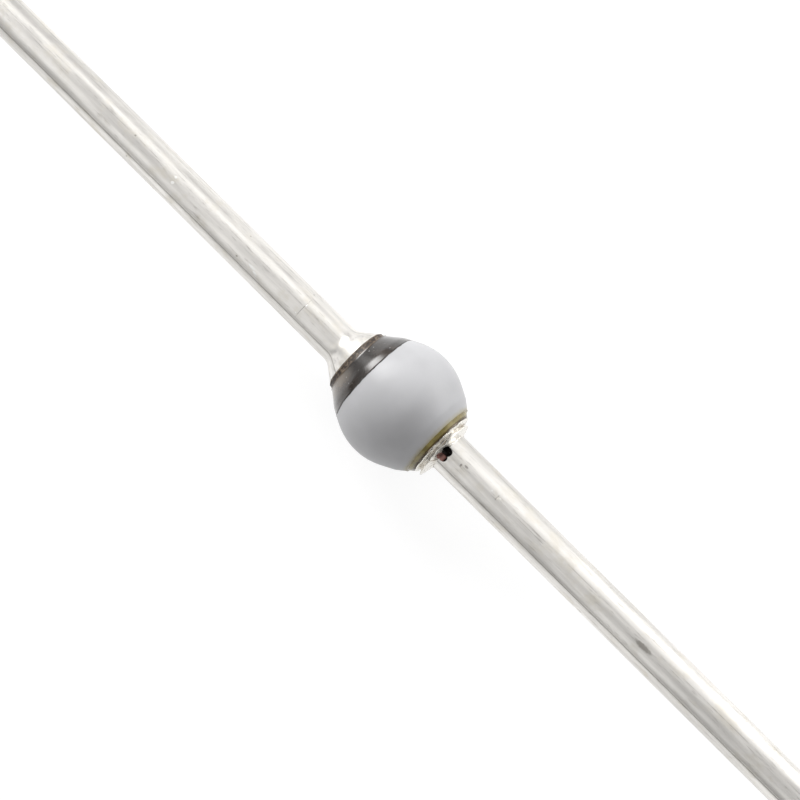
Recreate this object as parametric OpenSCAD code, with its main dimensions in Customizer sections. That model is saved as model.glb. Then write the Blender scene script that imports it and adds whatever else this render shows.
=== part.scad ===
// Axial rectifier diode with a sintered-glass bead body.
// All sizes are in millimetres. The lead axis is X, the anode lead points to +X,
// and the origin is the centre of the bead, on that axis.

/* [Leads] */
// Diameter of the plated copper wire of both leads
lead_d = 1.3; // [1.2:0.05:1.4]
// Length of the whole diode from lead tip to lead tip
overall_l = 56; // [40:1:70]
// Chamfer that the cropping die leaves at each lead tip
tip_chamfer = 0.05; // [0.02:0.01:0.1]

/* [Cathode nail head] */
// Largest diameter of the head, where it meets the glass
flare_d = 2.2; // [2.1:0.02:2.3]
// Angle between the head's cone and the lead axis
flare_angle = 37; // [33:1:45]
// Radius that blends the cone into the wire
flare_blend_r = 0.5; // [0.3:0.05:0.7]

/* [Anode nail head] */
// Diameter of the flat head under the braze
head_d = 1.8; // [1.7:0.02:1.9]
// Thickness of the flat head
head_t = 0.15; // [0.12:0.01:0.18]

/* [Stack] */
// Diameter of both molybdenum studs
stud_d = 2.0; // [1.9:0.02:2.06]
// Length of each stud
stud_l = 1.63; // [1.58:0.01:1.68]
// Diameter of the silicon die on its wide, cathode side
die_d = 1.7; // [1.6:0.02:1.8]
// Diameter of the die on its bevelled, anode side
die_top_d = 1.5; // [1.4:0.02:1.58]
// Thickness of the die
die_t = 0.28; // [0.22:0.02:0.34]
// Thickness of the aluminium layer on each face of the die
bond_t = 0.025; // [0.015:0.005:0.035]
// Thickness of the braze between a stud and its nail head
braze_t = 0.05; // [0.03:0.01:0.07]
// Distance from the widest place of the bead to the die, towards the cathode
die_shift = 0.055; // [0.03:0.005:0.08]

/* [Bead] */
// Largest diameter of the bead, over its enamel
bead_d = 3.9; // [3.8:0.02:4.1]
// Angle at which the round crown turns into the straight slope
crown_angle = 27; // [25:1:29]
// Length of that straight slope
slope_l = 0.41; // [0.34:0.01:0.48]
// Radius of the soft shoulder after the slope
shoulder_r = 0.6; // [0.4:0.05:0.8]
// Angle of the cone that runs from the shoulder to each end
end_angle = 38; // [36:1:40]
// Length of the glass foot that wets the cathode nail head
foot_l = 0.18; // [0.1:0.01:0.24]
// Least glass over the edge of the anode stud's end face
stud_cover = 0.1; // [0.05:0.01:0.14]

/* [Skins] */
// Thickness of the enamel and of the band ink
skin_t = 0.03; // [0.02:0.005:0.05]
// Distance from the bead's centre to the edge between the enamel and the band
band_edge = 1.09; // [1.0:0.01:1.3]
// Width of the bare glass rim beside the cathode nail head
cathode_rim = 0.13; // [0.08:0.01:0.16]
// Width of the bare glass rim beside the anode joint
anode_rim = 0.14; // [0.1:0.01:0.22]

/* [Anode braze collar] */
// Diameter of the collar where it runs out over the stud's end face
collar_d = 2.24; // [2.2:0.01:2.26]
// Length of the collar along the lead
collar_l = 0.34; // [0.3:0.01:0.4]
// Round-over of the collar's edge on the glass
rim_round = 0.02; // [0.01:0.005:0.03]
// Thickness of the braze over the rim of the nail head
head_cover = 0.07; // [0.06:0.01:0.1]
// Depth of the groove between the stud's edge and the nail head's edge
groove_depth = 0.03; // [0.01:0.005:0.04]
// Thickness of the braze where it feathers out on the wire
toe_t = 0.02; // [0.015:0.005:0.03]
// Height of the collar's small lumps
grain_h = 0.026; // [0.01:0.002:0.03]
// Height of the big run of braze on the -Y side
run_h = 0.2; // [0.14:0.01:0.24]
// Radius of each of the two bubbles that left the pit in the top of the joint
pit_r = 0.15; // [0.12:0.01:0.18]
// Depth that the pit reaches into the wire
pit_depth = 0.09; // [0.05:0.01:0.12]
// Distance of the pit's middle beyond the collar's toe
pit_reach = 0.05; // [0:0.01:0.08]
// Angle between the two bubbles, seen along the lead
pit_angle = 17; // [12:1:22]

/* [Hidden] */

ROUND_FACES = 96;
ARC_STEPS = 10;

lead_r = lead_d / 2;
flare_r = flare_d / 2;
head_r = head_d / 2;
stud_r = stud_d / 2;
glass_r = bead_d / 2 - skin_t;
tip_x = overall_l / 2;

// Faces of the stack, from the cathode nail head to the anode nail head
die_x0 = -die_shift - die_t / 2;
die_x1 = -die_shift + die_t / 2;
cathode_stud_x1 = die_x0 - bond_t;
cathode_stud_x0 = cathode_stud_x1 - stud_l;
cathode_face = cathode_stud_x0 - braze_t;
anode_stud_x0 = die_x1 + bond_t;
anode_face = anode_stud_x0 + stud_l;
head_x0 = anode_face + braze_t;
head_x1 = head_x0 + head_t;

// The slope, drawn out on a thin bead so that the end cone still covers the stud, and
// the centre of the shoulder arc after it
plain_end_r = (glass_r - shoulder_r) * (cos(crown_angle) + sin(crown_angle) * tan(end_angle))
    + shoulder_r / cos(end_angle) - anode_face * tan(end_angle);
end_gain = cos(crown_angle) * tan(end_angle) - sin(crown_angle);
flank_l = max(slope_l, (stud_r + stud_cover - plain_end_r) / end_gain);
shoulder_x = (glass_r - shoulder_r) * sin(crown_angle) + flank_l * cos(crown_angle);
shoulder_y = (glass_r - shoulder_r) * cos(crown_angle) - flank_l * sin(crown_angle);

// The collar in lengths u from the stud's end face, and in angles from +Y towards +Z
groove_u = braze_t + head_t / 2;
edge_u = braze_t + head_t;
collar_r = collar_d / 2;
GRAIN_STEPS = 60;
COLLAR_RINGS = 14;
RUN_ANGLE = 172;
RUN_HALF_ANGLE = 30;
RUN_PLACE = 0.75;
RUN_SHARE = 0.22;

// Centres of the bubbles that left the pit
pit_x = anode_face + collar_l + pit_reach;
pit_axis_r = lead_r - pit_depth + pit_r;
PIT_PLACE_ANGLE = 104;

// Points [x, r] of an arc, with its angle measured from the r axis
function arc(cx, cr, radius, a0, a1) = [
    for (i = [0 : ARC_STEPS])
        let (a = a0 + (a1 - a0) * i / ARC_STEPS)
        [cx + radius * sin(a), cr + radius * cos(a)]
];

// Radius of the bead's flank at a distance x from the centre, t above the glass:
// on the end cone, on the shoulder before it, or on the slope before that
function flank_r(x, t) =
    let (turn = shoulder_r + t)
    let (cone_x = shoulder_x + turn * sin(end_angle))
    x > cone_x ? shoulder_y + turn * cos(end_angle) - (x - cone_x) * tan(end_angle) :
    x > shoulder_x + turn * sin(crown_angle) ?
        shoulder_y + sqrt(turn * turn - (x - shoulder_x) * (x - shoulder_x)) :
    (glass_r + t) / cos(crown_angle) - x * tan(crown_angle);

// Crown, slope and shoulder of one half of the bead as far as x, t above the glass
function half_bead(x, t) = [
    for (p = concat(
        arc(0, 0, glass_r + t, 0, crown_angle),
        arc(shoulder_x, shoulder_y, shoulder_r + t, crown_angle, end_angle)
    )) if (p[0] < x) p
];

function mirrored(points) = [
    for (i = [len(points) - 1 : -1 : 0]) [-points[i][0], points[i][1]]
];

// Closed outline of the bead, t above the glass, from end face to end face
foot_x = -cathode_face - foot_l;
function bead_outline(t) = concat(
    [
        [cathode_face, 0],
        [cathode_face, flare_r + t],
        [-foot_x, flank_r(foot_x, t)]
    ],
    mirrored(half_bead(foot_x, t)),
    half_bead(anode_face, t),
    [
        [anode_face, flank_r(anode_face, t)],
        [anode_face, 0]
    ]
);

// Turns a closed outline of points [x, r] about the lead axis
module turned(outline) {
    rotate([0, 90, 0])
        rotate_extrude($fn = ROUND_FACES)
            polygon([for (p = outline) [p[1], p[0]]]);
}

// Round disc or rod between two places on the lead axis
module disc(x0, x1, r) {
    translate([x0, 0, 0])
        rotate([0, 90, 0])
            cylinder(h = x1 - x0, r = r, $fn = ROUND_FACES);
}

// Cropped wire from x0 out to its tip, towards +X
module wire(x0) {
    turned([
        [x0, 0],
        [x0, lead_r],
        [tip_x - tip_chamfer, lead_r],
        [tip_x, lead_r - tip_chamfer],
        [tip_x, 0]
    ]);
}

// Nail head that tapers into the wire, drawn towards +X from its face
module flared_wire(face) {
    blend_h = flare_blend_r * (1 - cos(flare_angle));
    blend_l = flare_blend_r * sin(flare_angle);
    cone_l = (flare_r - lead_r - blend_h) / tan(flare_angle);
    wire_x = face + cone_l + blend_l;
    turned(concat(
        [[face, 0], [face, flare_r]],
        arc(wire_x, lead_r + flare_blend_r, flare_blend_r, 180 + flare_angle, 180),
        [
            [tip_x - tip_chamfer, lead_r],
            [tip_x, lead_r - tip_chamfer],
            [tip_x, 0]
        ]
    ));
}

// Wire with its flat nail head, whole, as it was before the pit burst
module headed_wire() {
    union() {
        disc(head_x0, head_x1, head_r);
        wire(head_x1);
    }
}

// Two burst bubbles, through the braze and into the side of the wire
module pit() {
    for (side = [-0.5, 0.5]) {
        a = PIT_PLACE_ANGLE + side * pit_angle;
        translate([pit_x, pit_axis_r * cos(a), pit_axis_r * sin(a)])
            sphere(r = pit_r, $fn = 48);
    }
}

// Radius of the smooth collar at u from the stud's end face: its rim on the glass,
// the groove, the edge over the nail head, and the fall to the toe on the wire
function collar_at(u) =
    let (edge_r = head_r + head_cover)
    let (toe_r = lead_r + toe_t)
    let (fall = (1 + cos(180 * (u - edge_u) / (collar_l - edge_u))) / 2)
    u > edge_u ? toe_r + (edge_r - toe_r) * fall : lookup(u, [
        [0, collar_r - rim_round],
        [braze_t, collar_r],
        [groove_u, edge_r - groove_depth],
        [edge_u, edge_r]
    ]);

// Small frozen lumps of braze, from +1 to -1, at an angle and a share v of the collar's length
function grain(a, v) =
    0.4 * sin(5 * a + 340 * v) + 0.35 * sin(9 * a - 570 * v + 50) + 0.25 * sin(16 * a + 870 * v + 110);

// One big run of braze on the -Y side, from 0 to 1
function run(a, v) =
    let (around = (a - RUN_ANGLE) / RUN_HALF_ANGLE)
    let (along = (v - RUN_PLACE) / RUN_SHARE)
    exp(-around * around - along * along);

// Point of the collar's outer surface; its lumps end short of both ends
function collar_point(a, v) =
    let (u = v * collar_l)
    let (fade = min(1, 7 * v, 14 * (1 - v)))
    let (r = collar_at(u) + fade * (grain_h * grain(a, v) + run_h * run(a, v)))
    [anode_face + u, r * cos(a), r * sin(a)];

// Lumpy closed collar without its bore
module collar_body() {
    rings = COLLAR_RINGS;
    steps = GRAIN_STEPS;
    points = [
        for (i = [0 : rings], j = [0 : steps - 1])
            collar_point(360 * j / steps, i / rings)
    ];
    sides = [
        for (i = [0 : rings - 1], j = [0 : steps - 1])
            let (k = (j + 1) % steps)
            each [
                [i * steps + j, (i + 1) * steps + j, (i + 1) * steps + k],
                [i * steps + j, (i + 1) * steps + k, i * steps + k]
            ]
    ];
    inner_cap = [for (j = [0 : steps - 1]) j];
    outer_cap = [for (j = [steps - 1 : -1 : 0]) rings * steps + j];
    polyhedron(points, concat(sides, [inner_cap, outer_cap]));
}

// Everything that the glass is fused around
module stack_core() {
    disc(cathode_face, cathode_stud_x1, stud_r);
    disc(cathode_stud_x1, die_x0, die_d / 2);
    die();
    disc(die_x1, anode_stud_x0, die_top_d / 2);
    disc(anode_stud_x0, anode_face, stud_r);
}

module die() {
    translate([die_x0, 0, 0])
        rotate([0, 90, 0])
            cylinder(h = die_t, r1 = die_d / 2, r2 = die_top_d / 2, $fn = ROUND_FACES);
}

// Skin on the glass between two places on the lead axis
module skin(x0, x1) {
    rotate([0, 90, 0])
        rotate_extrude($fn = ROUND_FACES)
            intersection() {
                difference() {
                    polygon([for (p = bead_outline(skin_t)) [p[1], p[0]]]);
                    polygon([for (p = bead_outline(0)) [p[1], p[0]]]);
                }
                translate([0, x0])
                    square([bead_d, x1 - x0]);
            }
}

module cathode_lead() {
    color("#d2d0c9")
        mirror([1, 0, 0])
            flared_wire(-cathode_face);
}

module anode_lead() {
    color("#d2d0c9")
        difference() {
            headed_wire();
            pit();
        }
}

module cathode_stud() {
    color("#8f9092")
        disc(cathode_stud_x0, cathode_stud_x1, stud_r);
}

module anode_stud() {
    color("#8f9092")
        disc(anode_stud_x0, anode_face, stud_r);
}

module cathode_bond() {
    color("#b9bcc0")
        disc(cathode_stud_x1, die_x0, die_d / 2);
}

module anode_bond() {
    color("#b9bcc0")
        disc(die_x1, anode_stud_x0, die_top_d / 2);
}

module silicon_die() {
    color("#4a4d55")
        die();
}

module cathode_braze() {
    color("#c3bfb2")
        disc(cathode_face, cathode_stud_x0, stud_r);
}

module anode_braze() {
    color("#b9b4a6")
        difference() {
            collar_body();
            headed_wire();
            pit();
        }
}

module glass_bead() {
    color("#6e6647")
        difference() {
            turned(bead_outline(0));
            stack_core();
        }
}

module body_coat() {
    color("#bfc0bb")
        skin(-band_edge, anode_face - anode_rim);
}

module cathode_band() {
    color("#3d342e")
        skin(cathode_face + cathode_rim, -band_edge);
}

cathode_lead();
anode_lead();
cathode_stud();
anode_stud();
cathode_bond();
anode_bond();
silicon_die();
cathode_braze();
anode_braze();
glass_bead();
body_coat();
cathode_band();
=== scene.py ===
import math

import bpy
from bpy.props import (FloatProperty, FloatVectorProperty, IntProperty,
                       PointerProperty)
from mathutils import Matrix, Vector


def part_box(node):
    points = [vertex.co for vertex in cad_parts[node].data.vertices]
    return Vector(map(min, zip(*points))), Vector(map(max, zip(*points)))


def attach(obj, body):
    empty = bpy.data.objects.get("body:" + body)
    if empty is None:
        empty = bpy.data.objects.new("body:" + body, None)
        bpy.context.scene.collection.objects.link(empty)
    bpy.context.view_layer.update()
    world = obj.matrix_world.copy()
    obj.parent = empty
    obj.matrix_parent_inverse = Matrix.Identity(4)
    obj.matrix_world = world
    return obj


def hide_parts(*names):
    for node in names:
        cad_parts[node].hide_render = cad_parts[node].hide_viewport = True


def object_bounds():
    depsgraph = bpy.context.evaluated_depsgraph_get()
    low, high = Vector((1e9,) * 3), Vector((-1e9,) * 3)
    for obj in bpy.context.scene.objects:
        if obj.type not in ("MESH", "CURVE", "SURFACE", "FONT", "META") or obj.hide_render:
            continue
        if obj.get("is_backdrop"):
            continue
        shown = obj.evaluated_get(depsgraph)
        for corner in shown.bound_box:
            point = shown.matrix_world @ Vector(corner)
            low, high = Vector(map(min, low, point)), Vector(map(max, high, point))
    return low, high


bl_info = {
    "name": "Axial rectifier diode",
    "version": (1, 0, 0),
    "blender": (4, 5, 0),
    "location": "View3D > Sidebar > Diode",
    "description": "Dresses the packed glass-bead diode: wires, braze, bead",
    "category": "Object",
}

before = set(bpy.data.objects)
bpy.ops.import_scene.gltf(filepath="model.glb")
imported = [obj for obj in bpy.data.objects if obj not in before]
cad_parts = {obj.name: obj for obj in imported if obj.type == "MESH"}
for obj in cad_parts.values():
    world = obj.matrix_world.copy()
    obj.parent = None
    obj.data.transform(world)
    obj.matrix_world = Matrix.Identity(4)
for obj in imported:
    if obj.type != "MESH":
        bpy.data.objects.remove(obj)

MM = 0.001
TO_MM = (1000.0, 1000.0, 1000.0)      # metres to millimetres, each way
SHARP = math.radians(40)              # an edge that bends more stays sharp
WIRE_MM = 0.65                        # wire's radius, for marks on it


# -------- settings

def length(name, default, description):
    """A size in metres, shown with its unit."""
    return FloatProperty(name=name, description=description, default=default,
                         subtype="DISTANCE", unit="LENGTH", precision=6)


def turn_of(name, degrees, description):
    """An angle that is written in degrees."""
    return FloatProperty(name=name, description=description,
                         default=math.radians(degrees), subtype="ANGLE",
                         unit="ROTATION")


def colour(name, written, description):
    """A colour that is written as sRGB hex and kept as linear values."""
    return FloatVectorProperty(name=name, description=description,
                               default=linear(written)[:3], size=3,
                               min=0.0, max=1.0, subtype="COLOR")


def linear(written):
    """Linear RGBA of an sRGB colour that is written as RRGGBB."""
    values = []
    for place in (0, 2, 4):
        share = int(written[place:place + 2], 16) / 255.0
        values.append(share / 12.92 if share <= 0.04045
                      else ((share + 0.055) / 1.055) ** 2.4)
    return (*values, 1.0)


class DIODE_PG_sizes(bpy.types.PropertyGroup):
    """Sizes of the diode's own forms, the same as those of its solids."""
    wire_r: length("Wire radius", 0.65 * MM, "Half the lead wire")
    tip_chamfer: length("Tip chamfer", 0.05 * MM, "Cut on each wire's tip")
    flare_r: length("Flare radius", 1.10 * MM,
                    "Widest end of the cathode lead's flare")
    flare_blend: length("Flare blend", 0.5 * MM,
                        "Radius where the flare runs out into the wire")
    head_r: length("Head radius", 0.90 * MM, "Upset head of the anode lead")
    head_t: length("Head thickness", 0.15 * MM, "Anode lead's flat head")
    glass_r: length("Glass radius", 1.92 * MM, "Bead without its enamel")
    slope_l: length("Slope length", 0.41 * MM,
                    "Straight flank between crown and shoulder")
    shoulder_r: length("Shoulder radius", 0.60 * MM,
                       "Round between the flank and the end cone")
    foot_l: length("Foot length", 0.18 * MM,
                   "Where the glass wets the cathode flare")
    skin_t: length("Enamel thickness", 0.03 * MM, "Skin over the glass")
    collar_r: length("Collar radius", 1.12 * MM, "Braze at its root")
    collar_l: length("Collar length", 0.34 * MM, "Braze along the axis")
    pit_r: length("Pit radius", 0.15 * MM, "Burst bubble in the braze")
    pit_depth: length("Pit depth", 0.09 * MM, "Depth into the wire")
    pit_reach: length("Pit reach", 0.05 * MM, "Pit beyond the collar's toe")
    pit_angle: turn_of("Pit angle", 109.0, "Place of the pit round the wire")
    pit_spread: turn_of("Pit spread", 19.0, "Angle between the two bubbles")
    crown_angle: turn_of("Crown angle", 27.0, "End of the bead's round crown")
    end_angle: turn_of("End angle", 38.0, "Slope of the bead's end cones")
    flare_angle: turn_of("Flare angle", 37.0,
                         "Half angle of the cathode flare")
    segments: IntProperty(name="Segments", default=144, min=24, max=256,
                          description="Steps round each turned piece")


class DIODE_PG_colours(bpy.types.PropertyGroup):
    """Colours of the finishes."""
    wire: colour("Wire", "F3F0EB", "Silver plate on the drawn copper wire")
    wire_film: colour("Wire film", "D8D2C4", "Dull film in blotches")
    wire_chip: colour("Wire chip", "FBFAF7", "Bright torn silver")
    # also the colour of the painted reflection lines along the wire
    wire_dirt_and_reflection: colour("Wire dirt", "6A635A", "Die lines and handling marks")
    enamel: colour("Enamel", "BEBEC0", "Light grey enamel on the glass")
    band: colour("Band", "1F1813", "Dark cathode band")
    band_thin: colour("Thin band", "342921", "Ink where it is thinner")
    # painted reflection of the floor: lighter ink on the band's side towards -Y
    band_reflection: colour("Worn band", "75695B", "Ink rubbed off the glass")
    band_crust: colour("Band crust", "8C7B67", "Dried edge of the band")
    crust: colour("Seal crust", "2A1F18", "Burnt glass on the flare")
    glass: colour("Glass", "A1935E", "Bare amber glass at the bead's ends")
    # painted shade along the glass's joint with the braze
    glass_joint_shade: colour("Joint", "4A3520", "Glass next to the braze")
    glass_burnt: colour("Burnt glass", "33271F", "Glass at the cathode seal")
    braze: colour("Braze", "F2EFE8", "Silver braze at the anode")
    flux: colour("Flux", "7C6446", "Tan flux left in the braze's folds")
    pit: colour("Pit", "A98078", "Bare copper in the burst bubble")
    pit_dark: colour("Soot", "171210", "Sooty upper side of the pit")
    # near black on the pit's upper side
    floor: colour("Floor", "F2F2F2", "Plain floor under the diode")


# -------- helpers

def add(tree, kind, links=None, **settings):
    """Adds one node, sets it, and links or fills its inputs."""
    node = tree.nodes.new(kind)
    for name, value in settings.items():
        setattr(node, name, value)
    for key, value in (links or {}).items():
        socket = node.inputs[key]
        if isinstance(value, bpy.types.NodeSocket):
            tree.links.new(value, socket)
        else:
            socket.default_value = value
    return node


def maths(tree, operation, *values):
    """One math node's result."""
    return add(tree, "ShaderNodeMath", dict(enumerate(values)),
               operation=operation).outputs[0]


def times(tree, first, second):
    """The product of two values."""
    return maths(tree, "MULTIPLY", first, second)


def plus(tree, first, second):
    """The sum of two values."""
    return maths(tree, "ADD", first, second)


def minus(tree, first, second):
    """The difference of two values."""
    return maths(tree, "SUBTRACT", first, second)


def most(tree, first, second):
    """The larger of two values."""
    return maths(tree, "MAXIMUM", first, second)


def mapped(tree, value, low, high, out_low=0.0, out_high=1.0,
           kind="SMOOTHSTEP"):
    """A value carried from one range to another, held at both ends."""
    return add(tree, "ShaderNodeMapRange",
               {0: value, 1: low, 2: high, 3: out_low, 4: out_high},
               interpolation_type=kind, clamp=True).outputs[0]


def mixed(tree, factor, first, second, blend="MIX"):
    """Two colours mixed by a factor."""
    node = add(tree, "ShaderNodeMix", data_type="RGBA", blend_type=blend)
    for socket, value in ((0, factor), (6, first), (7, second)):
        if isinstance(value, bpy.types.NodeSocket):
            tree.links.new(value, node.inputs[socket])
        else:
            node.inputs[socket].default_value = value
    return node.outputs[2]


def opaque(value, share=1.0):
    """A colour as RGBA, darkened to a share of itself."""
    return (*(share * part for part in value), 1.0)


def vectors(tree, operation, *values, output="Vector"):
    """One vector math node's result."""
    return add(tree, "ShaderNodeVectorMath", dict(enumerate(values)),
               operation=operation).outputs[output]


def along_axis(tree, real):
    """Place along the axis."""
    return add(tree, "ShaderNodeSeparateXYZ", {0: real}).outputs[0]


def noise(tree, vector, scale, detail=3.0, roughness=0.5, seed=0.0):
    """Fine noise from 0 to 1, with its own fixed seed."""
    return add(tree, "ShaderNodeTexNoise",
               {"Vector": vector, "W": seed, "Scale": scale,
                "Detail": detail, "Roughness": roughness},
               noise_dimensions="4D").outputs[0]


# -------- geometry: the trees

def group_inputs(tree, wanted):
    """Names the tree's inputs, and gives its input and output nodes."""
    face = tree.interface
    face.new_socket("Geometry", in_out="INPUT",
                    socket_type="NodeSocketGeometry")
    for name, kind, default in wanted:
        socket = face.new_socket(name, in_out="INPUT", socket_type=kind)
        if default is not None:
            socket.default_value = default
    face.new_socket("Geometry", in_out="OUTPUT",
                    socket_type="NodeSocketGeometry")
    return (tree.nodes.new("NodeGroupInput"),
            tree.nodes.new("NodeGroupOutput"))


def finish_tree(tree, geometry, end, material):
    """Sharp edges, real geometry and the finish at the end of a tree."""
    smooth = add(tree, "GeometryNodeSetShadeSmooth", {0: geometry})
    bend = add(tree, "GeometryNodeInputMeshEdgeAngle").outputs[0]
    sharp = add(tree, "FunctionNodeCompare", {0: bend, 1: SHARP},
                operation="GREATER_THAN").outputs[0]
    creased = add(tree, "GeometryNodeSetShadeSmooth",
                  {0: smooth.outputs[0], "Selection": sharp,
                   "Shade Smooth": False}, domain="EDGE")
    real = add(tree, "GeometryNodeRealizeInstances",
               {0: creased.outputs[0]})
    painted = add(tree, "GeometryNodeSetMaterial",
                  {"Geometry": real.outputs[0], "Material": material})
    tree.links.new(painted.outputs[0], end.inputs[0])


def moved(tree, geometry, way, amount):
    """The surface moved along a way by an amount in metres."""
    move = add(tree, "ShaderNodeVectorMath", {0: way, "Scale": amount},
               operation="SCALE").outputs[0]
    return add(tree, "GeometryNodeSetPosition",
               {"Geometry": geometry, "Offset": move}).outputs[0]


def pit_centres(sizes):
    """Middles of the two bubbles whose burst left the pit."""
    out = sizes.wire_r - sizes.pit_depth + sizes.pit_r
    along = (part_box("anode_braze")[0][0] + sizes.collar_l
             + sizes.pit_reach)
    return [(along, out * math.cos(turn), out * math.sin(turn))
            for turn in (sizes.pit_angle - sizes.pit_spread / 2,
                         sizes.pit_angle + sizes.pit_spread / 2)]


def pitted(tree, geometry, sizes):
    """Sinks the surface to the bottom of each burst bubble."""
    for number, centre in enumerate(pit_centres(sizes)):
        way = Vector((0.0, centre[1], centre[2])).normalized()
        place = add(tree, "GeometryNodeInputPosition").outputs[0]
        ragged = noise(tree, vectors(tree, "MULTIPLY", place, TO_MM),
                       9.0, 2.0, 0.5, 60.0 + number)
        # the ragged rim: 0.82 to 1.18 of the bubble's radius
        radius = times(tree, sizes.pit_r,
                       plus(tree, 0.82, times(tree, ragged, 0.36)))
        off = vectors(tree, "SUBTRACT", place, centre)
        height = vectors(tree, "DOT_PRODUCT", off, way, output="Value")
        far = vectors(tree, "DOT_PRODUCT", off, off, output="Value")
        room = minus(tree, times(tree, radius, radius),
                     minus(tree, far, times(tree, height, height)))
        depth = maths(tree, "SQRT", most(tree, room, 0.0))
        over = most(tree, plus(tree, height, depth), 0.0)
        down = times(tree, over, maths(tree, "GREATER_THAN", room, 0.0))
        geometry = moved(tree, geometry, way, times(tree, down, -1.0))
    return geometry


def turned_tree():
    """Turns a profile of (along, out) points round the X axis.

    The surface is then rubbed down by a long grain, never built up, so the
    piece stays inside its size.
    """
    tree = bpy.data.node_groups.new("Turned piece", "GeometryNodeTree")
    start, end = group_inputs(tree, (
        ("Segments", "NodeSocketInt", 144),
        ("Grain depth", "NodeSocketFloat", 0.0),
        ("Grain size", "NodeSocketFloat", 0.3),
        ("Grain stretch", "NodeSocketFloat", 1.0),
        ("Seed", "NodeSocketFloat", 0.0),
        ("Material", "NodeSocketMaterial", None)))
    given = start.outputs
    count = add(tree, "GeometryNodeAttributeDomainSize",
                {0: given["Geometry"]}, component="MESH").outputs[0]
    rows = plus(tree, given["Segments"], 1.0)
    grid = add(tree, "GeometryNodeMeshGrid",
               {"Size X": 1.0, "Size Y": 1.0, "Vertices X": count,
                "Vertices Y": rows})
    place = add(tree, "GeometryNodeInputPosition").outputs[0]
    flat = add(tree, "ShaderNodeSeparateXYZ", {0: place}).outputs
    step = times(tree, plus(tree, flat[0], 0.5), minus(tree, count, 1.0))
    index = add(tree, "FunctionNodeFloatToInt", {0: step},
                rounding_mode="ROUND").outputs[0]
    angle = times(tree, plus(tree, flat[1], 0.5), -2.0 * math.pi)
    sampled = add(tree, "GeometryNodeSampleIndex",
                  {"Geometry": given["Geometry"], "Index": index},
                  data_type="FLOAT_VECTOR", domain="POINT")
    tree.links.new(place, next(s for s in sampled.inputs
                               if s.name == "Value" and s.enabled))
    read = next(s for s in sampled.outputs if s.enabled)
    profile = add(tree, "ShaderNodeSeparateXYZ", {0: read}).outputs
    turned = add(tree, "ShaderNodeCombineXYZ", {
        0: profile[0],
        1: times(tree, profile[1], maths(tree, "COSINE", angle)),
        2: times(tree, profile[1], maths(tree, "SINE", angle)),
    }).outputs[0]
    shell = add(tree, "GeometryNodeSetPosition",
                {"Geometry": grid.outputs[0], "Position": turned})
    closed = add(tree, "GeometryNodeMergeByDistance",
                 {"Geometry": shell.outputs[0], "Distance": 1e-7})
    long = add(tree, "ShaderNodeCombineXYZ", {
        0: maths(tree, "DIVIDE", TO_MM[0], given["Grain stretch"]),
        1: TO_MM[1], 2: TO_MM[2]}).outputs[0]
    where = vectors(tree, "MULTIPLY", place, long)
    grain = noise(tree, where, maths(tree, "DIVIDE", 1.0,
                                     given["Grain size"]),
                  seed=given["Seed"])
    depth = times(tree, minus(tree, grain, 1.0), given["Grain depth"])
    out = add(tree, "GeometryNodeInputNormal").outputs[0]
    floor_reflection = moved(tree, closed.outputs[0], out, depth)
    cut = pitted(tree, floor_reflection, bpy.context.scene.diode_sizes)
    finish_tree(tree, cut, end, given["Material"])
    return tree


def braze_tree():
    """Crumples the braze collar like a quickly frozen silver skin."""
    tree = bpy.data.node_groups.new("Frozen braze", "GeometryNodeTree")
    start, end = group_inputs(tree, (
        ("Crumple height", "NodeSocketFloat", 0.02 * MM),
        ("Crumple size", "NodeSocketFloat", 0.16),
        ("Root", "NodeSocketFloat", 1.74 * MM),
        ("Length", "NodeSocketFloat", 0.34 * MM),
        ("Seed", "NodeSocketFloat", 5.0),
        ("Material", "NodeSocketMaterial", None)))
    given = start.outputs
    place = add(tree, "GeometryNodeInputPosition").outputs[0]
    out = add(tree, "GeometryNodeInputNormal").outputs[0]
    where = vectors(tree, "MULTIPLY", place, TO_MM)
    soft = noise(tree, where, maths(tree, "DIVIDE", 1.0,
                                    given["Crumple size"]),
                 detail=2.0, seed=given["Seed"])
    folds = maths(tree, "ABSOLUTE", minus(tree, soft, 0.5))
    along = along_axis(tree, place)
    share = maths(tree, "DIVIDE", minus(tree, along, given["Root"]),
                  given["Length"])
    hold = times(tree, mapped(tree, share, 0.02, 0.2),
                 mapped(tree, share, 0.8, 1.0, 1.0, 0.0))
    depth = times(tree, times(tree, folds, -3.0),
                  times(tree, hold, given["Crumple height"]))
    folded = moved(tree, given["Geometry"], out, depth)
    cut = pitted(tree, folded, bpy.context.scene.diode_sizes)
    finish_tree(tree, cut, end, given["Material"])
    return tree


def grown(name, mesh, tree, values, material):
    """An object whose mesh is what a tree makes of its start mesh."""
    piece = bpy.data.objects.new(name, mesh)
    bpy.context.scene.collection.objects.link(piece)
    modifier = piece.modifiers.new(tree.name, "NODES")
    modifier.node_group = tree
    sockets = {item.name: item.identifier
               for item in tree.interface.items_tree
               if item.item_type == "SOCKET" and item.in_out == "INPUT"}
    for key, value in values.items():
        modifier[sockets[key]] = value
    modifier[sockets["Material"]] = material
    graph = bpy.context.evaluated_depsgraph_get()
    graph.update()
    result = bpy.data.meshes.new_from_object(
        piece.evaluated_get(graph), preserve_all_data_layers=True,
        depsgraph=graph)
    piece.modifiers.remove(modifier)
    piece.data = result
    result.name = name
    result.materials.clear()
    result.materials.append(material)
    bpy.data.meshes.remove(mesh)
    if not result.polygons:
        raise RuntimeError(f"{name} came out empty")
    return piece


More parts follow.
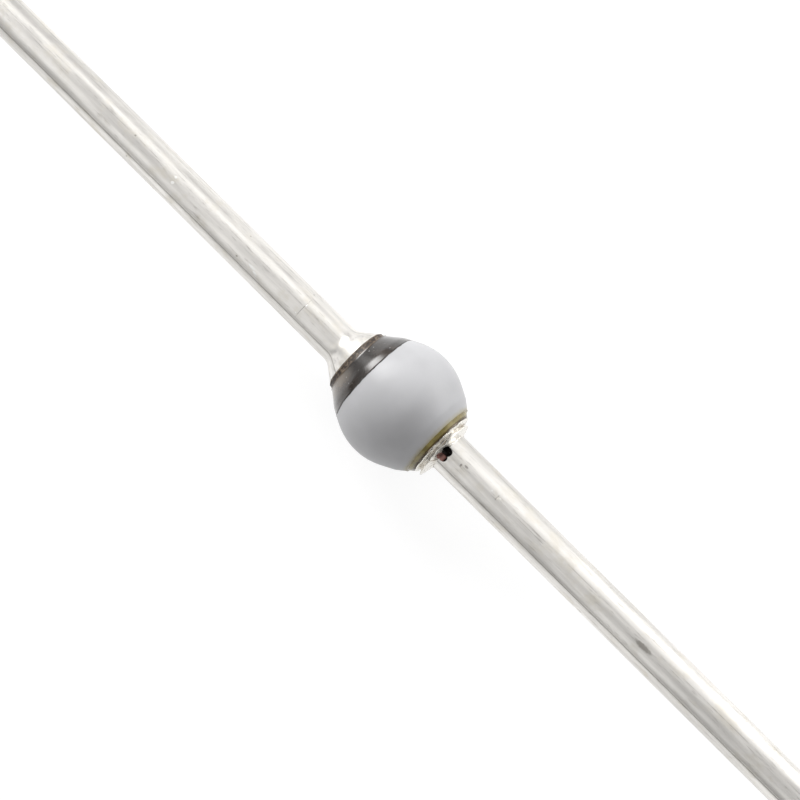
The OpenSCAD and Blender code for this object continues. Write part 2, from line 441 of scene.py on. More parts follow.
def turned(name, points, values, material):
    """A piece turned from the (along, out) points of its profile."""
    mesh = bpy.data.meshes.new(name + " profile")
    mesh.from_pydata([(along, out, 0.0) for along, out in points],
                     [(i, i + 1) for i in range(len(points) - 1)], [])
    return grown(name, mesh, shared("turned", turned_tree), values,
                 material)


def dress(piece, node):
    """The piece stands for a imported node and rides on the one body."""
    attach(piece, "root")
    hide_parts(node)


# -------- the profiles

def spaced(low, high, step):
    """Even places from low to high, at most a step apart."""
    count = max(1, math.ceil(abs(high - low) / step - 1e-6))
    return [low + (high - low) * i / count for i in range(count + 1)]


def bead_out(sizes, along, skin):
    """Radius of the bead at a place along it, with a skin on the glass."""
    a1, a2 = sizes.crown_angle, sizes.end_angle
    far, crown = abs(along), sizes.glass_r + skin
    inner = sizes.glass_r - sizes.shoulder_r
    centre = (inner * math.sin(a1) + sizes.slope_l * math.cos(a1),
              inner * math.cos(a1) - sizes.slope_l * math.sin(a1))
    turn = sizes.shoulder_r + skin
    cone = (centre[0] + turn * math.sin(a2), centre[1] + turn * math.cos(a2))
    if far <= crown * math.sin(a1):
        return math.sqrt(crown ** 2 - far ** 2)
    if far <= centre[0] + turn * math.sin(a1):
        return (crown * math.cos(a1)
                - (far - crown * math.sin(a1)) * math.tan(a1))
    if far <= cone[0]:
        return centre[1] + math.sqrt(turn ** 2 - (far - centre[0]) ** 2)
    return cone[1] - (far - cone[0]) * math.tan(a2)


def cathode_out(sizes, along, skin, face):
    """The bead's radius with the foot that wets the cathode flare."""
    foot = face + sizes.foot_l
    if along >= foot:
        return bead_out(sizes, along, skin)
    share = (foot - along) / sizes.foot_l
    root = bead_out(sizes, foot, skin)
    return root + (sizes.flare_r + skin - root) * share


def skin_profile(sizes, low, high, face):
    """Closed profile of a skin on the glass, with soft edges."""
    edge = 0.35 * sizes.skin_t
    outer = [(x, cathode_out(sizes, x, sizes.skin_t, face))
             for x in spaced(low, high, 0.02 * MM)]
    inner = [(x, cathode_out(sizes, x, 0.0, face))
             for x in spaced(high, low, 0.04 * MM)]
    outer[0] = (low, outer[0][1] - edge)
    outer[-1] = (high, outer[-1][1] - edge)
    outer.insert(1, (low + 0.3 * edge, outer[1][1] - 0.3 * edge))
    outer.insert(len(outer) - 1, (high - 0.3 * edge,
                                  outer[-2][1] - 0.3 * edge))
    return outer + inner + outer[:1]


def crust_profile(sizes, face):
    """Closed profile of the burnt ring that crept over the flare."""
    reach, lift, over = 0.065 * MM, 0.018 * MM, 0.015 * MM
    slope = math.tan(sizes.flare_angle)
    outer = []
    for x in spaced(face - reach, face, 0.015 * MM):
        share = (face - x) / reach
        outer.append((x, sizes.flare_r - (face - x) * slope
                      + lift * (1.0 - 1.3 * share ** 3)))
    outer.append((face + over, sizes.flare_r + lift))
    inner = [(face + over, sizes.flare_r - over),
             (face - reach, sizes.flare_r - reach * slope - over)]
    return outer + inner + outer[:1]


# -------- the materials

def new_material(name):
    """An empty material: itself, its tree, its shader, places in mm."""
    material = bpy.data.materials.new(name)
    material.use_nodes = True
    tree = material.node_tree
    tree.nodes.clear()
    shader = tree.nodes.new("ShaderNodeBsdfPrincipled")
    output = tree.nodes.new("ShaderNodeOutputMaterial")
    tree.links.new(shader.outputs[0], output.inputs[0])
    place = add(tree, "ShaderNodeTexCoord").outputs["Object"]
    real = vectors(tree, "MULTIPLY", place, TO_MM)
    return material, tree, shader, real


def stretched(tree, real, along, across=1.0):
    """Places in mm with the axis drawn out."""
    return vectors(tree, "MULTIPLY", real, (along, across, across))


def bumped(tree, shader, height, strength, distance):
    """Relief in metres on the shader's normal."""
    relief = add(tree, "ShaderNodeBump",
                 {"Height": height, "Strength": strength,
                  "Distance": distance})
    tree.links.new(relief.outputs[0], shader.inputs["Normal"])


def finish(tree, shader, tone, rough):
    """Links the base colour and the roughness of a finish."""
    tree.links.new(tone, shader.inputs["Base Color"])
    tree.links.new(rough, shader.inputs["Roughness"])


def round_places(tree, real):
    """Place along the axis in mm, and the angle from +Y towards +Z."""
    parts = add(tree, "ShaderNodeSeparateXYZ", {0: real}).outputs
    return parts[0], maths(tree, "ARCTAN2", parts[2], parts[1])


def thin_dark_line(tree, real, at, width, seed, gaps):
    """A thin dark line along the wire, broken along it; the table tells die lines from
    painted reflections.
    """
    angle = round_places(tree, real)[1]
    sway = noise(tree, stretched(tree, real, 0.12, 0.0), 1.0, 2.0, 0.5,
                 seed)
    off = minus(tree, angle, math.radians(at))
    off = plus(tree, off, times(tree, minus(tree, sway, 0.5), 0.05))
    line = mapped(tree, maths(tree, "ABSOLUTE", off), 0.0, width, 1.0, 0.0)
    kept = mapped(tree, noise(tree, stretched(tree, real, 0.8, 0.0), 1.0,
                              4.0, 0.7, seed + 0.5), *gaps)
    return times(tree, line, kept)


def spot(tree, places, ragged, along_mm, at, half_long, half_round):
    """A small ragged mark: mm along, degrees round, half sizes in mm."""
    along, angle = places
    far = maths(tree, "DIVIDE", minus(tree, along, along_mm), half_long)
    turn = times(tree, minus(tree, angle, math.radians(at)), WIRE_MM)
    turn = maths(tree, "DIVIDE", turn, half_round)
    apart = maths(tree, "SQRT", plus(tree, times(tree, far, far),
                                     times(tree, turn, turn)))
    return mapped(tree, plus(tree, apart, ragged), 1.0, 1.5, 1.0, 0.0)


def spots(tree, real, marks, seed):
    """All the marks of one kind together."""
    places = round_places(tree, real)
    ragged = noise(tree, real, 14.0, 3.0, 0.6, seed)
    total = None
    for mark in marks:
        one = spot(tree, places, ragged, *mark)
        total = one if total is None else most(tree, total, one)
    return total


def pit_colour(tree, real, base, colours):
    """The burst bubble: near black above, bare copper below. Also its mask."""
    sizes = bpy.context.scene.diode_sizes
    near = None
    for centre in pit_centres(sizes):
        gap = vectors(tree, "DISTANCE", real,
                      [value / MM for value in centre], output="Value")
        near = gap if near is None else maths(tree, "MINIMUM", near, gap)
    start, end = (sizes.pit_r / MM + past for past in PIT_FADE)
    inside = mapped(tree, near, start, end, 1.0, 0.0)
    along, angle = round_places(tree, real)
    low = mapped(tree, angle, *(math.radians(turn) for turn in BARE_ROUND))
    inner = mapped(tree, along, *BARE_ALONG, 1.0, 0.0)
    bare = times(tree, low, inner)
    hole = mixed(tree, bare, opaque(colours.pit_dark), opaque(colours.pit))
    return mixed(tree, inside, base, hole), inside


# the pit: where its colour fades out, in mm past the bubbles; where its
# copper starts, in degrees round; where the copper ends, in mm along
PIT_FADE = (0.004, 0.022)
BARE_ROUND = (110, 116)
BARE_ALONG = (2.20, 2.24)
# thin dark lines: degrees round, half width in radians, seed, the noise levels
# between which the line comes up, and its strength; those at 139, 87 and 94
# degrees are painted reflections of dark lines in the studio, the others die lines
DIE_AND_REFLECTION_LINES = ((139.0, 0.05, 17.0, (0.25, 0.42), 1.0),
             (87.0, 0.035, 18.0, (0.45, 0.6), 0.7),
             (94.0, 0.030, 19.0, (0.5, 0.62), 0.7),
             (40.0, 0.035, 20.0, (0.4, 0.6), 0.7),
             (262.0, 0.05, 21.0, (0.3, 0.5), 0.7),
             (318.0, 0.04, 22.0, (0.4, 0.6), 0.7))
# marks on wire and braze: mm along, degrees round, half sizes in mm
NICKS = ((-11.60, 86, 0.05, 0.04), (-11.42, 150, 0.03, 0.03),
         (-6.83, 57, 0.03, 0.03), (-4.17, 45, 0.03, 0.03),
         (-4.08, 96, 0.012, 0.45), (-6.69, 126, 0.04, 0.03),
         (2.86, 93, 0.10, 0.04), (2.70, 100, 0.04, 0.06),
         (8.22, 170, 0.13, 0.03), (4.15, 94, 0.015, 0.12),
         (10.30, 102, 0.40, 0.10))
CHIPS = ((-9.76, 90, 0.06, 0.05), (-9.72, 106, 0.07, 0.07),
         (-6.10, 118, 0.20, 0.05), (-5.92, 125, 0.14, 0.05),
         (-4.05, 87, 0.03, 0.06), (-4.16, 122, 0.04, 0.03),
         (3.90, 90, 0.03, 0.03), (4.25, 90, 0.03, 0.03))
# the stain at 1.77 mm and 120 degrees is a painted shadow line at the braze's joint with
# the glass; the others are stains
STAINS_AND_SHADOW = ((2.06, 156, 0.035, 0.02), (2.02, 134, 0.12, 0.02),
          (1.77, 120, 0.02, 0.10), (1.90, 92, 0.03, 0.10))


def wire_material(colours):
    """Silver plate on drawn copper wire."""
    material, tree, shader, real = new_material("Silver-plated drawn wire")
    fine = noise(tree, stretched(tree, real, 0.10), 16.0, 4.0, 0.6, 1.0)
    broad = noise(tree, stretched(tree, real, 0.06), 3.2, 3.0, 0.6, 15.0)
    blotch = noise(tree, stretched(tree, real, 0.7), 2.4, 4.0, 0.6, 2.0)
    grain = noise(tree, stretched(tree, real, 0.5), 30.0, 2.0, 0.6, 16.0)
    tone = mixed(tree, mapped(tree, broad, 0.35, 0.62),
                 opaque(colours.wire, 0.74), opaque(colours.wire))
    tone = mixed(tree, times(tree, mapped(tree, blotch, 0.5, 0.72), 0.5),
                 tone, opaque(colours.wire_film))
    tone = mixed(tree, times(tree, mapped(tree, fine, 0.56, 0.70), 0.35),
                 tone, opaque(colours.wire_dirt_and_reflection))
    marks_and_reflections = spots(tree, real, NICKS, 30.0)
    # the first three rows are painted reflections of dark lines in the studio
    for at, width, seed, gaps, strength in DIE_AND_REFLECTION_LINES:
        line = thin_dark_line(tree, real, at, width, seed, gaps)
        marks_and_reflections = most(tree, marks_and_reflections, times(tree, strength, line))
    chips = spots(tree, real, CHIPS, 50.0)
    tone = mixed(tree, times(tree, marks_and_reflections, 0.62), tone,
                 opaque(colours.wire_dirt_and_reflection))
    tone = mixed(tree, chips, tone, opaque(colours.wire_chip))
    tone, pit = pit_colour(tree, real, tone, colours)
    # dull and bright silver in long streaks, die lines, painted reflections of
    # dark studio lines, nicks and chips; the plate's shine is uneven, duller in blotches
    rough = mapped(tree, blotch, 0.3, 0.7, 0.28, 0.40)
    finish(tree, shader, tone, plus(tree, rough, times(tree, pit, 0.2)))
    # bare bright silver, and a thin dull film over most of it
    tree.links.new(mapped(tree, grain, 0.35, 0.7, 0.84, 0.96),
                   shader.inputs["Metallic"])
    relief = plus(tree, times(tree, fine, 0.6), times(tree, grain, 0.4))
    relief = minus(tree, relief, times(tree, marks_and_reflections, 0.8))
    relief = plus(tree, relief, times(tree, chips, 0.8))
    bumped(tree, shader, relief, 0.5, 0.006 * MM)
    return material


def enamel_material(colours):
    """Satin light grey enamel."""
    material, tree, shader, real = new_material("Satin grey enamel")
    along = along_axis(tree, real)
    cloud = noise(tree, real, 1.3, 3.0, 0.5, 3.0)
    fine = noise(tree, real, 22.0, 2.0, 0.6, 4.0)
    tone = mixed(tree, mapped(tree, cloud, 0.3, 0.7),
                 opaque(colours.enamel, 0.93), opaque(colours.enamel))
    start, end = (corner[0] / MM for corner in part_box("body_coat"))
    wave = times(tree, noise(tree, real, 5.0, 4.0, 0.7, 26.0), 0.16)
    thin = mapped(tree, plus(tree, along, wave), end - 0.06, end + 0.14)
    wave = times(tree, noise(tree, real, 3.0, 3.0, 0.6, 27.0), 0.12)
    crept = mapped(tree, minus(tree, along, wave), start - 0.055,
                   start - 0.035, 1.0, 0.0)
    tone = mixed(tree, crept, tone, opaque(colours.band))
    # a faint cloudiness, band ink crept on to one edge, and the amber
    # glass through the other, where the enamel is thin
    finish(tree, shader, mixed(tree, times(tree, thin, 0.8), tone,
                               opaque(colours.glass)),
           mapped(tree, cloud, 0.3, 0.7, 0.38, 0.48))
    bumped(tree, shader, fine, 0.2, 0.004 * MM)
    return material


def band_material(colours, edge):
    """Glossy brown-black band ink with a dried, crusty outer edge."""
    material, tree, shader, real = new_material("Dark band ink")
    along = along_axis(tree, real)
    ragged = noise(tree, real, 3.0, 4.0, 0.65, 6.0)
    patch = noise(tree, real, 1.4, 3.0, 0.6, 12.0)
    reach = minus(tree, along, times(tree, ragged, 0.14))
    crust = mapped(tree, reach, edge / MM - 0.10, edge / MM - 0.01,
                   1.0, 0.0)
    # painted glints: light grey specks standing for glints on tiny bubbles in the ink
    painted_glints = mapped(tree, noise(tree, real, 14.0, 2.0, 0.5, 7.0),
                    0.70, 0.73)
    thin = mixed(tree, mapped(tree, patch, 0.42, 0.66),
                 opaque(colours.band), opaque(colours.band_thin))
    # painted reflection of the white floor: the ink is drawn lighter on the side towards
    # -Y, near the cathode end
    angle = round_places(tree, real)[1]
    floor_reflection = times(tree, mapped(tree, angle, math.radians(104),
                              math.radians(135)),
                 mapped(tree, minus(tree, along, times(tree, ragged, 0.3)),
                        -1.75, -1.5, 1.0, 0.0))
    thin = mixed(tree, times(tree, floor_reflection, 0.75), thin,
                 opaque(colours.band_reflection))
    base = mixed(tree, times(tree, crust, 0.7), thin,
                 opaque(colours.band_crust))
    # ink thinner in places, its dried tan edge, and light grey specks that are painted
    # glints of tiny bubbles in the gloss
    finish(tree, shader, mixed(tree, times(tree, painted_glints, 0.6), base,
                               opaque(colours.enamel)),
           mapped(tree, most(tree, crust, patch), 0.4, 1.0, 0.22, 0.55))
    # the lacquer in the ink, which makes the highlight strong
    shader.inputs["Coat Weight"].default_value = 0.85
    shader.inputs["Coat Roughness"].default_value = 0.17
    bumped(tree, shader, noise(tree, real, 9.0, 3.0, 0.6, 13.0), 0.5,
           0.012 * MM)
    return material


def crust_material(colours):
    """Burnt glass and ink that crept on to the flare, dark and crumbly."""
    material, tree, shader, real = new_material("Burnt seal crust")
    crumbs = noise(tree, real, 11.0, 4.0, 0.7, 25.0)
    # burnt brown with paler crumbs
    finish(tree, shader, mixed(tree, mapped(tree, crumbs, 0.42, 0.62),
                               opaque(colours.crust),
                               opaque(colours.band_crust)),
           mapped(tree, crumbs, 0.3, 0.7, 0.7, 0.45))
    bumped(tree, shader, crumbs, 0.6, 0.015 * MM)
    return material


def glass_material(colours):
    """Bare amber glass: olive at the anode, burnt brown at the cathode."""
    material, tree, shader, real = new_material("Amber sealing glass")
    along = along_axis(tree, real)
    cloud = noise(tree, real, 4.0, 4.0, 0.7, 8.0)
    crumbs = noise(tree, real, 9.0, 3.0, 0.7, 14.0)
    clear = mixed(tree, mapped(tree, cloud, 0.36, 0.62),
                  opaque(colours.glass, 0.60), opaque(colours.glass))
    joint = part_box("anode_braze")[0][0] / MM
    # painted shade: a thin dark line on the glass next to the braze
    shade = mapped(tree, plus(tree, along, times(tree, crumbs, 0.05)),
                   joint - 0.03, joint + 0.01)
    clear = mixed(tree, times(tree, shade, 0.75), clear,
                  opaque(colours.glass_joint_shade))
    burnt = mixed(tree, mapped(tree, crumbs, 0.48, 0.66),
                  opaque(colours.glass_burnt), opaque(colours.band_crust))
    # the glass over the studs, browned where the cathode seal was fired
    finish(tree, shader,
           mixed(tree, mapped(tree, along, -0.4, 0.4), burnt, clear),
           mapped(tree, along, -0.4, 0.4, 0.5, 0.2))
    shader.inputs["IOR"].default_value = 1.55
    bumped(tree, shader, crumbs, 0.5, 0.012 * MM)
    return material


def braze_material(colours):
    """Bright braze silver with tan flux stains in its folds."""
    material, tree, shader, real = new_material("Lumpy braze silver")
    # mostly bare metal, dulled by the oxide of the brazing
    shader.inputs["Metallic"].default_value = 0.8
    along = along_axis(tree, real)
    folds = noise(tree, real, 4.5, 3.0, 0.6, 9.0)
    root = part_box("anode_braze")[0][0] / MM
    groove = maths(tree, "ABSOLUTE", minus(tree, along, root + 0.125))
    groove = mapped(tree, groove, 0.0, 0.05, 1.0, 0.0)
    seam = mapped(tree, along, root + 0.005, root + 0.045, 1.0, 0.0)
    held = times(tree, groove, mapped(tree, folds, 0.42, 0.62, 0.1, 1.0))
    stain = mapped(tree, noise(tree, real, 6.0, 3.0, 0.6, 23.0),
                   0.60, 0.70)
    stains_and_shade = most(tree, most(tree, held, stain), times(tree, seam, 0.9))
    stains_and_shade = most(tree, stains_and_shade, spots(tree, real, STAINS_AND_SHADOW, 24.0))
    tone = mixed(tree, times(tree, stains_and_shade, 0.75),
                 opaque(colours.braze), opaque(colours.flux))
    tone, pit = pit_colour(tree, real, tone, colours)
    # flux left in the groove, at the seam on the glass and in the folds, and stain spots;
    # the one at 1.77 mm is a painted shadow line
    rough = mapped(tree, folds, 0.3, 0.7, 0.34, 0.18)
    finish(tree, shader, tone, plus(tree, rough, times(tree, pit, 0.25)))
    bumped(tree, shader, noise(tree, real, 11.0, 3.0, 0.6, 10.0), 0.45,
           0.012 * MM)
    return material


# -------- the operators

# grain of the drawn wire: shallow, and long along the axis
WIRE_GRAIN = {"Segments": 96, "Grain depth": 0.008 * MM,
              "Grain size": 0.25, "Grain stretch": 12.0}
WIRE_STEP = 0.12 * MM                 # along the plain wire
FLARE_STEPS = 12                      # along each part of the flare


class DIODE_OT_cathode_lead(bpy.types.Operator):
    """Wire with the flare that carries the cathode end of the bead"""
    bl_idname = "diode.cathode_lead"
    bl_label = "Cathode lead"

    def execute(self, context):
        sizes = context.scene.diode_sizes
        low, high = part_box("cathode_lead")
        tip, face = low[0], high[0]
        run = (sizes.flare_r - sizes.wire_r) / math.tan(sizes.flare_angle)
        cut = sizes.flare_blend * math.tan(sizes.flare_angle / 2)
        corner = face - run
        points = [(tip, 0.0), (tip, sizes.wire_r - sizes.tip_chamfer),
                  (tip + sizes.tip_chamfer, sizes.wire_r)]
        points += [(x, sizes.wire_r) for x in
                   spaced(tip + sizes.tip_chamfer, corner - cut,
                          WIRE_STEP)[1:-1]]
        for step in range(FLARE_STEPS + 1):
            turn = sizes.flare_angle * step / FLARE_STEPS
            points.append((corner - cut
                           + sizes.flare_blend * math.sin(turn),
                           sizes.wire_r + sizes.flare_blend
                           * (1 - math.cos(turn))))
        begin = points[-1]
        points += [(begin[0] + (face - begin[0]) * step / FLARE_STEPS,
                    begin[1] + (sizes.flare_r - begin[1])
                    * step / FLARE_STEPS)
                   for step in range(1, FLARE_STEPS + 1)]
        points.append((face, 0.0))
        piece = turned("Cathode_lead", points, {**WIRE_GRAIN, "Seed": 1.0},
                       shared("wire", wire_material))
        dress(piece, "cathode_lead")
        return {"FINISHED"}


class DIODE_OT_anode_lead(bpy.types.Operator):
    """Wire with the small upset head that is brazed to the anode stud"""
    bl_idname = "diode.anode_lead"
    bl_label = "Anode lead"

    def execute(self, context):
        sizes = context.scene.diode_sizes
        low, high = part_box("anode_lead")
        back, tip = low[0], high[0]
        neck = back + sizes.head_t
        points = [(back, 0.0), (back, sizes.head_r), (neck, sizes.head_r),
                  (neck, sizes.wire_r)]
        fine = neck + 0.6 * MM        # finer steps where the pit is cut
        points += [(x, sizes.wire_r) for x in
                   spaced(neck, fine, 0.02 * MM)[1:]
                   + spaced(fine, tip - sizes.tip_chamfer, WIRE_STEP)[1:]]
        points += [(tip, sizes.wire_r - sizes.tip_chamfer), (tip, 0.0)]
        piece = turned("Anode_lead", points, {**WIRE_GRAIN, "Seed": 2.0},
                       shared("wire", wire_material))
        dress(piece, "anode_lead")
        return {"FINISHED"}


class DIODE_OT_bead(bpy.types.Operator):
    """Glass bead with its grey enamel and dark cathode band"""
    bl_idname = "diode.bead"
    bl_label = "Bead"

    def execute(self, context):
        sizes = context.scene.diode_sizes
        colours = context.scene.diode_colours
        low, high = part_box("glass_bead")
        face, end = low[0], high[0]
        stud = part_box("cathode_stud")[1][1]
        outer = [(x, cathode_out(sizes, x, 0.0, face))
                 for x in spaced(face, end, 0.03 * MM)]
        points = outer + [(end, stud), (face, stud), outer[0]]
        smooth = {"Segments": sizes.segments, "Grain depth": 0.006 * MM}
        glass = turned("Glass_bead", points,
                       {**smooth, "Grain size": 0.5, "Seed": 3.0},
                       glass_material(colours))
        dress(glass, "glass_bead")
        for name, node, slot, material in (
                ("Body_enamel", "body_coat", "grey_enamel",
                 enamel_material(colours)),
                ("Band_skin", "cathode_band", "band_ink",
                 band_material(colours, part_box("cathode_band")[0][0]))):
            start, stop = (corner[0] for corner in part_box(node))
            skin = turned(name, skin_profile(sizes, start, stop, face),
                          {**smooth, "Grain size": 0.8, "Seed": 4.0},
                          material)
            dress(skin, node)
        crust = turned("Seal_crust", crust_profile(sizes, face),
                       {**smooth, "Grain depth": 0.022 * MM,
                        "Grain size": 6.0, "Seed": 6.0},
                       crust_material(colours))
        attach(crust, "root")
        return {"FINISHED"}


class DIODE_OT_braze(bpy.types.Operator):
    """Lumpy braze collar between the anode stud and the lead's head"""
    bl_idname = "diode.braze"
    bl_label = "Anode braze"

    def execute(self, context):
        sizes = context.scene.diode_sizes
        colours = context.scene.diode_colours
        piece = grown("Braze_collar", collar_mesh(sizes),
                      braze_tree(),
                      {"Crumple height": 0.022 * MM, "Crumple size": 0.3,
                       "Root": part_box("anode_braze")[0][0],
                       "Length": sizes.collar_l, "Seed": 5.0},
                      braze_material(colours))
        dress(piece, "anode_braze")
        return {"FINISHED"}


# the collar's crumple: share, waves round it, degrees, degrees per length
CRUMPLE = ((0.4, 5, 0, 340), (0.35, 9, 50, -570), (0.25, 16, 110, 870))
CRUMPLE_H, RUN_H = 0.026 * MM, 0.2 * MM
RUN_ROUND = (172, 30)                 # middle and reach, degrees round
RUN_ALONG = (0.75, 0.22)              # middle and reach, share of length


def collar_mesh(sizes):
    """The collar's start mesh, by the same rule as its solid."""
    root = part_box("anode_braze")[0][0]
    seam, hold = 0.05 * MM, 0.07 * MM
    edge_u, groove_u, groove = 0.20 * MM, 0.125 * MM, 0.03 * MM
    edge_r, toe_r = sizes.head_r + hold, sizes.wire_r + 0.02 * MM
    rim = 0.02 * MM
    knots = [(0.0, sizes.collar_r - rim), (seam, sizes.collar_r),
             (groove_u, edge_r - groove), (edge_u, edge_r)]

    def plain(u):
        if u > edge_u:
            return toe_r + (edge_r - toe_r) * (1 + math.cos(
                math.pi * (u - edge_u) / (sizes.collar_l - edge_u))) / 2
        for (u0, r0), (u1, r1) in zip(knots, knots[1:]):
            if u <= u1:
                share = (u - u0) / (u1 - u0)
                share = share * share * (3 - 2 * share)
                return r0 + (r1 - r0) * share
        return edge_r

    rounds, rings = 256, 56
    verts, faces = [], []
    for i in range(rings + 1):
        v = i / rings
        fade = min(1.0, 7 * v, 14 * (1 - v))   # plain at both ends
        for j in range(rounds):
            a = 360.0 * j / rounds
            grain = sum(share * math.sin(math.radians(
                waves * a + shift + drift * v))
                for share, waves, shift, drift in CRUMPLE)
            run = math.exp(-((a - RUN_ROUND[0]) / RUN_ROUND[1]) ** 2
                           - ((v - RUN_ALONG[0]) / RUN_ALONG[1]) ** 2)
            out = plain(v * sizes.collar_l) + fade * (
                CRUMPLE_H * grain + RUN_H * run)
            turn = math.radians(a)
            verts.append((root + v * sizes.collar_l, out * math.cos(turn),
                          out * math.sin(turn)))
    inner = len(verts)
    for along in (root + sizes.collar_l, root):
        for j in range(rounds):
            turn = 2 * math.pi * j / rounds
            verts.append((along, sizes.wire_r * math.cos(turn),
                          sizes.wire_r * math.sin(turn)))
    loops = [i * rounds for i in range(rings + 1)] + [inner, inner + rounds]
    for one, two in zip(loops, loops[1:] + loops[:1]):
        for j in range(rounds):
            k = (j + 1) % rounds
            faces.append((one + j, one + k, two + k, two + j))
    mesh = bpy.data.meshes.new("Anode braze start")
    mesh.from_pydata(verts, [], faces)
    mesh.validate()
    return mesh


# inner nodes and their slots; each slot's name, colour, metal, roughness
INSIDE = {"cathode_stud": "molybdenum", "anode_stud": "molybdenum",
          "silicon_die": "silicon", "cathode_bond": "aluminium_bond",
          "anode_bond": "aluminium_bond", "cathode_braze": "silver_braze"}
PLAIN = {"molybdenum": ("Ground molybdenum", "8E8D8C", 1.0, 0.35),
         "silicon": ("Lapped silicon", "4A4C52", 0.6, 0.25),
         "aluminium_bond": ("Aluminium bond", "C8C8C6", 1.0, 0.4),
         "silver_braze": ("Plain braze silver", "D8D4CA", 1.0, 0.35)}


def plain_material(name, written, metallic, rough):
    """A plain finish, slightly uneven in tone."""
    material, tree, shader, real = new_material(name)
    grain = noise(tree, real, 12.0, 3.0, 0.6, 11.0)
    base = linear(written)
    # a slightly uneven tone
    tree.links.new(mixed(tree, grain, opaque(base[:3], 0.8), base),
                   shader.inputs["Base Color"])
    shader.inputs["Metallic"].default_value = metallic
    shader.inputs["Roughness"].default_value = rough
    return material


class DIODE_OT_inside(bpy.types.Operator):
    """Plain finishes for the studs, the die and its bonds inside"""
    bl_idname = "diode.inside"
    bl_label = "Inside pieces"

    def execute(self, context):
        made = {}
        for node, slot in INSIDE.items():
            if slot not in made:
                made[slot] = plain_material(*PLAIN[slot])
            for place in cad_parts[node].material_slots:
                place.material = made[slot]
        return {"FINISHED"}


def sky_place(azimuth, elevation):
    """Unit vector towards a place in the sky, both in degrees."""
    turn, rise = math.radians(azimuth), math.radians(elevation)
    return Vector((math.cos(rise) * math.cos(turn),
                   math.cos(rise) * math.sin(turn), math.sin(rise)))


# soft boxes: azimuth, elevation, radius and soft edge in degrees, level
SKY = ((160, 31, 16, 5, 8.6), (170, 17, 11, 5, 2.8),
       (131, 42, 16, 10, 0.75), (121, 9, 15, 8, 0.7),
       (212, 44, 20, 12, 0.75), (190, 8, 22, 12, 0.4),
       (65, 8, 26, 16, 3.4), (55, 22, 20, 10, 0.9),
       (97, 46, 20, 8, 1.02), (100, 10, 14, 8, 0.2),
       (257, 37, 27, 12, 0.86), (162, 86, 25, 8, 0.76),
       (0, 90, 100, 20, 0.02))
# the camera: where it stands, its distance and lens in mm, and how far up
# its frame it is moved, in mm
CAMERA_TURN, CAMERA_RISE = math.radians(45.3), math.radians(78.7)
CAMERA_BACK, CAMERA_LENS, CAMERA_UP = 70.0, 103.95, 0.117
FLOOR_HALF = 0.6                      # metres
FLOOR_SHADE, FLOOR_GLOW = 0.2, 0.86   # what keeps its shadow faint


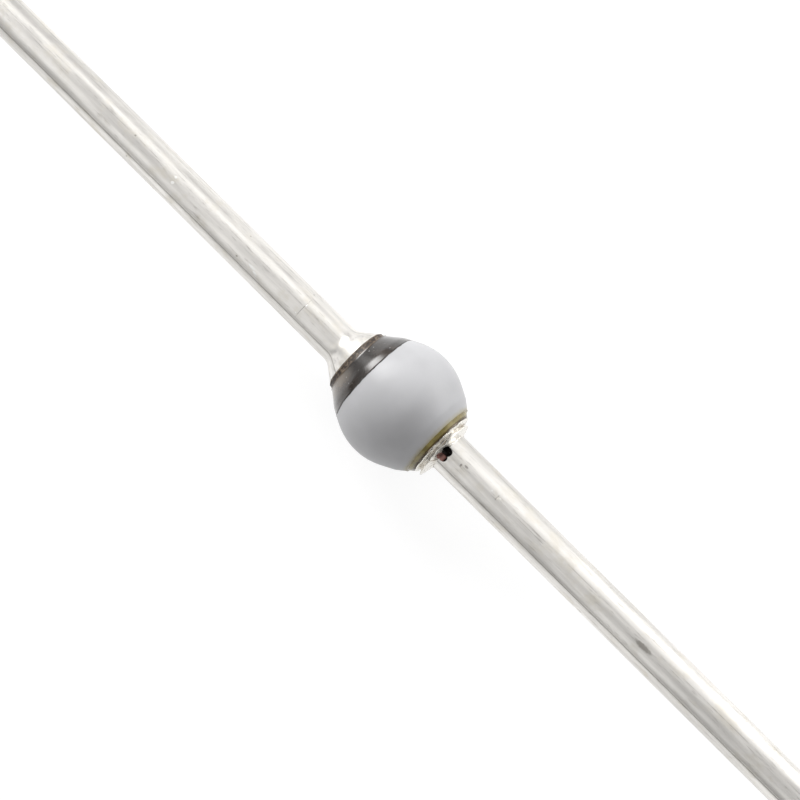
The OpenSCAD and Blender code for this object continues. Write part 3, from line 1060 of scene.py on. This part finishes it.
class DIODE_OT_stage(bpy.types.Operator):
    """Floor, soft studio light and the camera"""
    bl_idname = "diode.stage"
    bl_label = "Stage"

    def execute(self, context):
        scene = context.scene
        self.floor(scene)
        self.sky(scene)
        self.camera(scene)
        scene.view_settings.view_transform = "Standard"
        return {"FINISHED"}

    def floor(self, scene):
        """A white card that shows the diode's shadow faintly."""
        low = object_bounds()[0][2]
        half = FLOOR_HALF
        mesh = bpy.data.meshes.new("Floor")
        mesh.from_pydata([(-half, -half, low), (half, -half, low),
                          (half, half, low), (-half, half, low)],
                         [], [(0, 1, 2, 3)])
        floor = bpy.data.objects.new("Floor", mesh)
        scene.collection.objects.link(floor)
        material, tree, shader, _ = new_material("White card")
        shader.inputs["Base Color"].default_value = (
            *scene.diode_colours.floor, 1.0)
        shader.inputs["Roughness"].default_value = 0.9
        path = add(tree, "ShaderNodeLightPath").outputs
        seen = most(tree, path["Is Camera Ray"],
                    most(tree, path["Is Glossy Ray"],
                         path["Is Transmission Ray"]))
        faint = add(tree, "ShaderNodeBsdfDiffuse",
                    {"Color": (*(FLOOR_SHADE,) * 3, 1.0)})
        white = add(tree, "ShaderNodeEmission", {"Strength": FLOOR_GLOW})
        card = add(tree, "ShaderNodeAddShader",
                   {0: faint.outputs[0], 1: white.outputs[0]})
        both = add(tree, "ShaderNodeMixShader",
                   {0: seen, 1: shader.outputs[0], 2: card.outputs[0]})
        output = next(n for n in tree.nodes
                      if n.type == "OUTPUT_MATERIAL")
        tree.links.new(both.outputs[0], output.inputs[0])
        mesh.materials.append(material)
        floor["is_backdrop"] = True

    def sky(self, scene):
        """A dark tent with soft boxes, white where the camera sees it."""
        world = bpy.data.worlds.new("Studio")
        world.use_nodes = True
        tree = world.node_tree
        tree.nodes.clear()
        way = add(tree, "ShaderNodeTexCoord").outputs["Generated"]
        total = None
        for azimuth, elevation, radius, soft, level in SKY:
            near = vectors(tree, "DOT_PRODUCT", way,
                           sky_place(azimuth, elevation), output="Value")
            apart = maths(tree, "ARCCOSINE", near)
            glow = mapped(tree, apart, math.radians(radius - soft),
                          math.radians(radius + soft), level, 0.0)
            total = glow if total is None else plus(tree, total, glow)
        seen = add(tree, "ShaderNodeLightPath").outputs["Is Camera Ray"]
        level = add(tree, "ShaderNodeMix", {0: seen, 2: total, 3: 1.0})
        light = add(tree, "ShaderNodeBackground",
                    {0: (1.0, 1.0, 1.0, 1.0), 1: level.outputs[0]})
        add(tree, "ShaderNodeOutputWorld", {0: light.outputs[0]})
        scene.world = world

    def camera(self, scene):
        """Looks down along the near side, the bead in the middle."""
        turn, rise = CAMERA_TURN, CAMERA_RISE
        back = Vector((math.sin(turn) * math.cos(rise),
                       -math.cos(turn) * math.cos(rise), math.sin(rise)))
        data = bpy.data.cameras.new("Camera")
        data.sensor_width = 36.0
        data.lens = CAMERA_LENS
        data.clip_start = 0.005
        eye = bpy.data.objects.new("Camera", data)
        facing = back.to_track_quat("Z", "Y")
        upward = facing @ Vector((0.0, 1.0, 0.0))
        eye.location = upward * CAMERA_UP * MM + back * CAMERA_BACK * MM
        eye.rotation_euler = facing.to_euler()
        scene.collection.objects.link(eye)
        scene.camera = eye


class DIODE_PT_panel(bpy.types.Panel):
    """Lists the pieces of the diode in the order they are made"""
    bl_idname = "DIODE_PT_panel"
    bl_label = "Axial rectifier diode"
    bl_space_type = "VIEW_3D"
    bl_region_type = "UI"
    bl_category = "Diode"

    def draw(self, context):
        for operator in OPERATORS:
            self.layout.operator(operator.bl_idname)


OPERATORS = (DIODE_OT_cathode_lead, DIODE_OT_anode_lead, DIODE_OT_bead,
             DIODE_OT_braze, DIODE_OT_inside, DIODE_OT_stage)
CLASSES = (DIODE_PG_sizes, DIODE_PG_colours, *OPERATORS, DIODE_PT_panel)
MADE = {}


def shared(name, maker):
    """A tree or material that several pieces use, made once."""
    if name not in MADE:
        MADE[name] = (maker() if maker is turned_tree
                      else maker(bpy.context.scene.diode_colours))
    return MADE[name]


def register():
    for item in CLASSES:
        bpy.utils.register_class(item)
    bpy.types.Scene.diode_sizes = PointerProperty(type=DIODE_PG_sizes)
    bpy.types.Scene.diode_colours = PointerProperty(type=DIODE_PG_colours)


def unregister():
    del bpy.types.Scene.diode_colours
    del bpy.types.Scene.diode_sizes
    for item in reversed(CLASSES):
        bpy.utils.unregister_class(item)


def main():
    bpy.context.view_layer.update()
    register()
    for operator in OPERATORS:
        family, name = operator.bl_idname.split(".")
        getattr(getattr(bpy.ops, family), name)()


if __name__ == "__main__":
    main()
